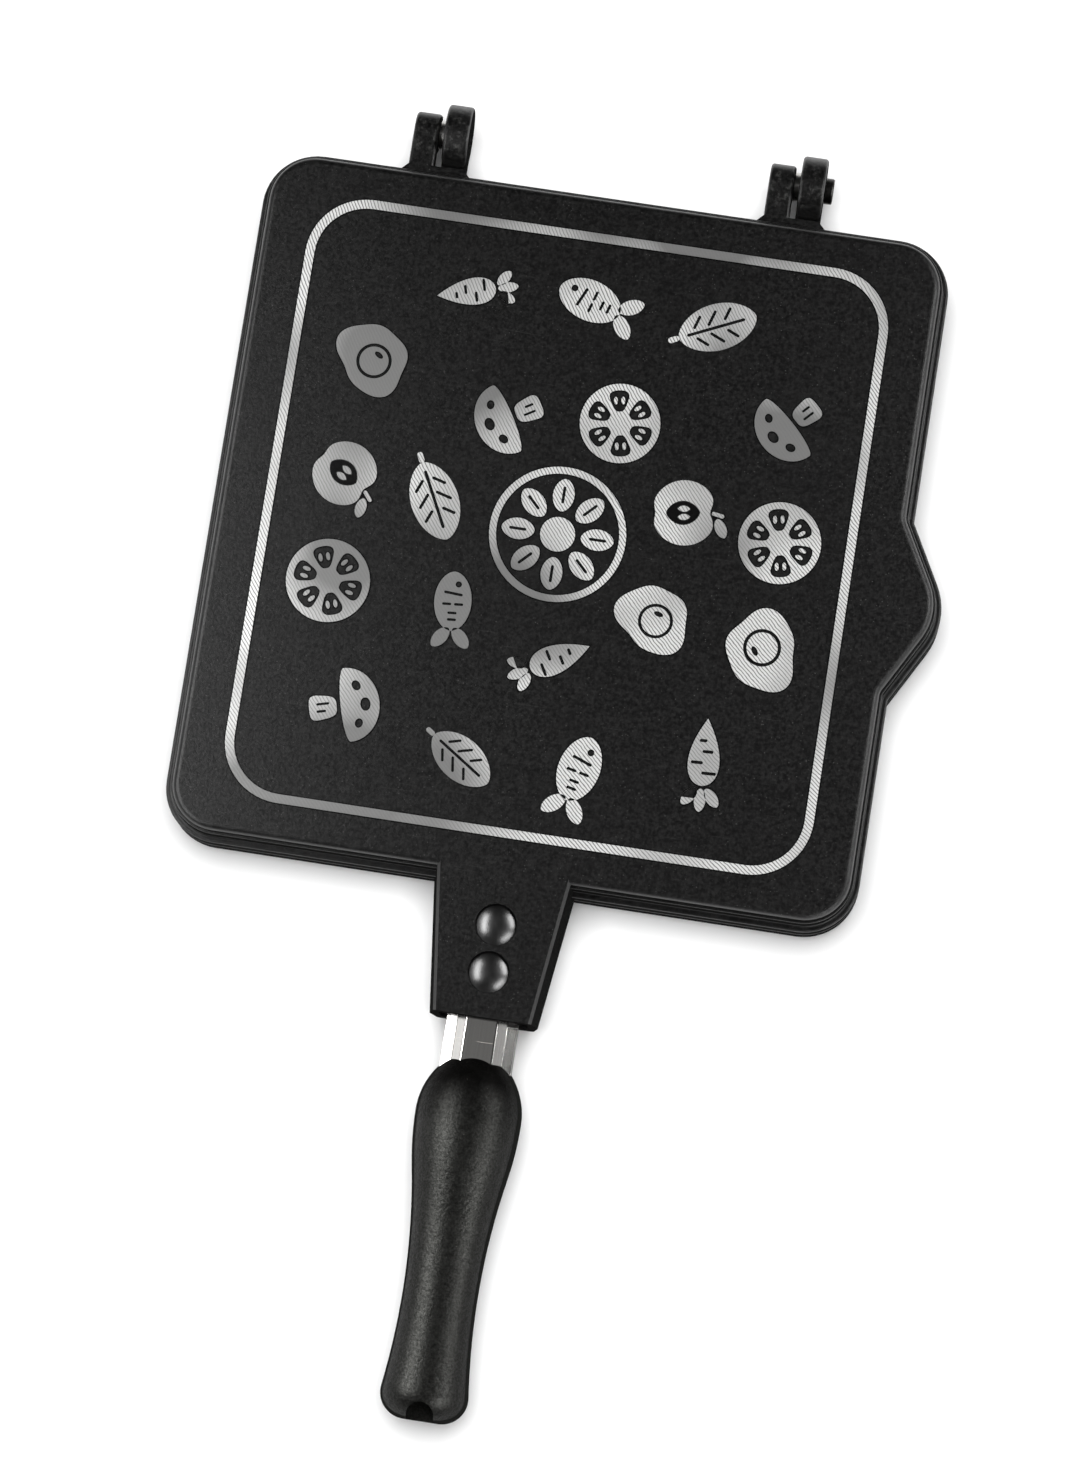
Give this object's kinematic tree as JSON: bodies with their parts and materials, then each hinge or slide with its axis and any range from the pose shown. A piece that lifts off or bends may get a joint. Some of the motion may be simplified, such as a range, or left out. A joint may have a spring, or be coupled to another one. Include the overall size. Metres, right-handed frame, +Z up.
{
  "type": "double-sided frying pan",
  "caption": "Square cast frying pan of two shallow halves hinged at the back, with a pouring lip at the side and a handle split into two half grips.",
  "frame": {"origin": "centre of the lower half's outer face, on the plane of its raised lines, which the shut pan rests on", "axes": "+Z up through the two halves, -Y along the handle, +Y towards the hinges, +X towards the pouring lip"},
  "size_m": [0.2538, 0.4526, 0.04],
  "materials": {
    "coated_casting": "die-cast aluminium with a matte black non-stick coating, bare and milled on the raised lines of the outer faces",
    "stem_steel": "polished stainless sheet with fine scratches",
    "grip_moulding": "matte black phenolic moulding",
    "rivet_lacquer": "glossy black lacquer",
    "pin_steel": "blackened steel",
    "fastener_steel": "zinc-plated steel",
    "magnet_ferrite": "sintered ferrite"
  },
  "bodies": {
    "lower_half": {"lower_pan": "coated_casting", "lower_stem": "stem_steel", "lower_grip": "grip_moulding", "lower_front_rivet": "rivet_lacquer", "lower_rear_rivet": "rivet_lacquer", "lower_grip_bush": "fastener_steel", "lower_grip_screw": "fastener_steel", "lower_magnet": "magnet_ferrite"},
    "upper_half": {"upper_pan": "coated_casting", "upper_stem": "stem_steel", "upper_grip": "grip_moulding", "upper_front_rivet": "rivet_lacquer", "upper_rear_rivet": "rivet_lacquer", "upper_grip_bush": "fastener_steel", "upper_grip_screw": "fastener_steel", "upper_magnet": "magnet_ferrite", "left_hinge_pin": "pin_steel", "left_hinge_washer": "fastener_steel", "right_hinge_pin": "pin_steel", "right_hinge_washer": "fastener_steel"}
  },
  "joints": [
    {"name": "lid_hinge", "type": "hinge", "parent": "lower_half", "child": "upper_half", "pos_m": [0, 0.1369, 0.02], "axis": [-1, 0, 0], "range_deg": [0, 180]}
  ]
}
